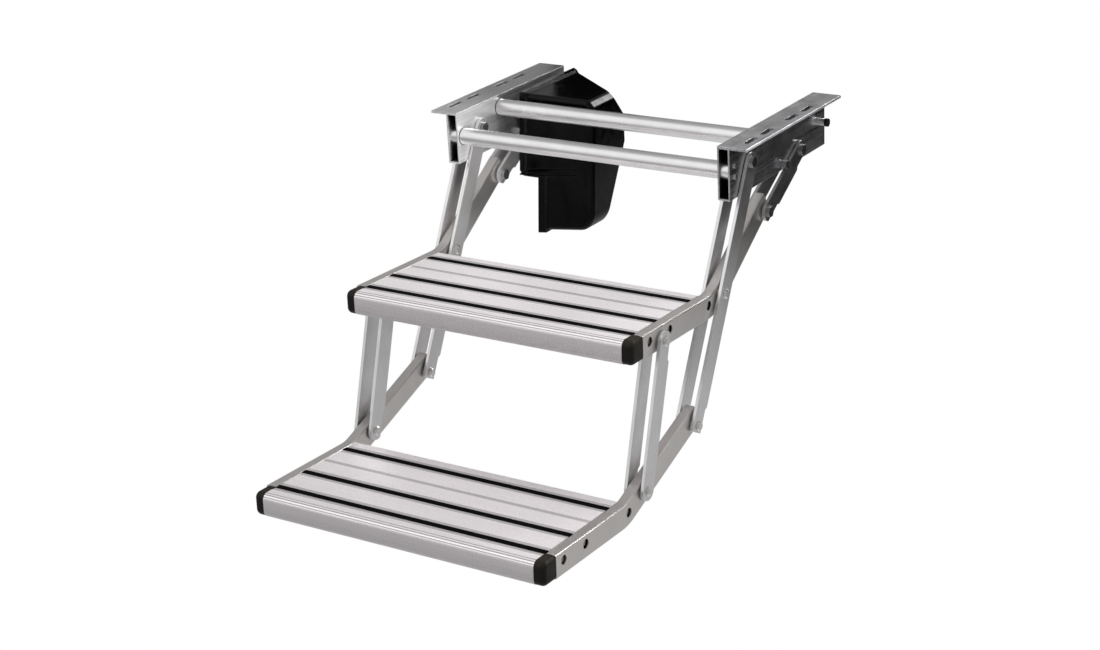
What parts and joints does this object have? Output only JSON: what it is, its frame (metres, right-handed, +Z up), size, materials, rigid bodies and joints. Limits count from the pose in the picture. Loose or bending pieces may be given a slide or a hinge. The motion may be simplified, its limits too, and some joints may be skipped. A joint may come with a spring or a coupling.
{
  "type": "caravan entry step",
  "caption": "Fold-away double entry step with grooved treads on cranked arms, hung from slotted brackets by flat bar linkage and moved by a covered drive.",
  "frame": {"origin": "centre of the mounting plane, on top of the bracket flanges, midway between the brackets", "axes": "+X across the doorway, -Y out towards the person stepping up, +Z up"},
  "size_m": [0.56, 0.8831, 0.4707],
  "materials": {
    "bracket_metal": "satin anodised extrusion",
    "tube_metal": "satin anodised tube",
    "bar_metal": "satin plated",
    "arm_metal": "satin anodised",
    "tread_metal": "fine grained anodised",
    "grip_rubber": "ribbed",
    "cap_plastic": "fine grained",
    "cover_plastic": "semi-gloss moulded",
    "bumper_rubber": "matt",
    "dark_steel": "dark zinc plated",
    "bright_steel": "bright zinc plated",
    "plate_steel": "black painted",
    "cast_housing": "as cast",
    "motor_can": "black painted"
  },
  "bodies": {
    "frame": {"bracket_right": "bracket_metal", "bracket_left": "bracket_metal", "front_cross_tube": "tube_metal", "rear_cross_tube": "tube_metal", "bracket_pivot_bolts": "dark_steel", "bracket_pivot_nuts": "dark_steel", "bracket_sleeves": "bright_steel", "bracket_washers": "bright_steel", "stop_studs": "dark_steel", "rear_studs": "bright_steel", "rear_bumpers": "bumper_rubber", "bracket_end_screws": "bright_steel", "motor_plate": "plate_steel", "plate_standoffs": "bright_steel", "gearbox_housing": "cast_housing", "drive_motor": "motor_can", "motor_cover": "cover_plastic"},
    "main_link": {"main_bar_right_outer": "bar_metal", "main_bar_right_inner": "bar_metal", "main_bar_left_outer": "bar_metal", "main_bar_left_inner": "bar_metal"},
    "rear_link": {"rear_bar_right_outer": "bar_metal", "rear_bar_right_inner": "bar_metal", "rear_bar_left_outer": "bar_metal", "rear_bar_left_inner": "bar_metal", "drive_shaft": "dark_steel", "rear_bar_bolts": "dark_steel"},
    "upper_step": {"upper_arm_right": "arm_metal", "upper_arm_left": "arm_metal", "upper_tread": "tread_metal", "upper_grip_strips": "grip_rubber", "upper_cap_right": "cap_plastic", "upper_cap_left": "cap_plastic", "upper_tread_screws": "bright_steel", "upper_pivot_rivets": "bright_steel", "upper_washers": "bright_steel"},
    "front_link": {"front_bar_right_outer": "bar_metal", "front_bar_right_inner": "bar_metal", "front_bar_left_outer": "bar_metal", "front_bar_left_inner": "bar_metal", "front_bar_rivets": "bright_steel"},
    "lower_step": {"lower_arm_right": "arm_metal", "lower_arm_left": "arm_metal", "lower_tread": "tread_metal", "lower_grip_strips": "grip_rubber", "lower_cap_right": "cap_plastic", "lower_cap_left": "cap_plastic", "lower_tread_screws": "bright_steel", "lower_pivot_rivets": "bright_steel", "lower_washers": "bright_steel"}
  },
  "joints": [
    {"name": "fold", "type": "hinge", "parent": "frame", "child": "main_link", "pos_m": [0, -0.098, -0.0385], "axis": [1, 0, 0], "range_deg": [0, 64]},
    {"name": "rear_link_pivot", "type": "hinge", "parent": "frame", "child": "rear_link", "pos_m": [0, 0.068, -0.0657], "axis": [1, 0, 0], "range_deg": [0, 115.46]},
    {"name": "upper_step_pivot", "type": "hinge", "parent": "main_link", "child": "upper_step", "pos_m": [0, -0.19128, -0.21542], "axis": [1, 0, 0], "range_deg": [-73.32, 0]},
    {"name": "lower_step_pivot", "type": "hinge", "parent": "main_link", "child": "lower_step", "pos_m": [0, -0.28456, -0.39233], "axis": [1, 0, 0], "range_deg": [-85.45, 0]},
    {"name": "front_link_pivot", "type": "hinge", "parent": "upper_step", "child": "front_link", "pos_m": [0, -0.37156, -0.22603], "axis": [1, 0, 0], "range_deg": [0, 67.63]}
  ],
  "couplings": [
    {"joint": "rear_link_pivot", "follows": "fold", "ratio": 1.8033},
    {"joint": "upper_step_pivot", "follows": "fold", "ratio": -1.1448},
    {"joint": "lower_step_pivot", "follows": "fold", "ratio": -1.3344},
    {"joint": "front_link_pivot", "follows": "fold", "ratio": 1.0559}
  ]
}
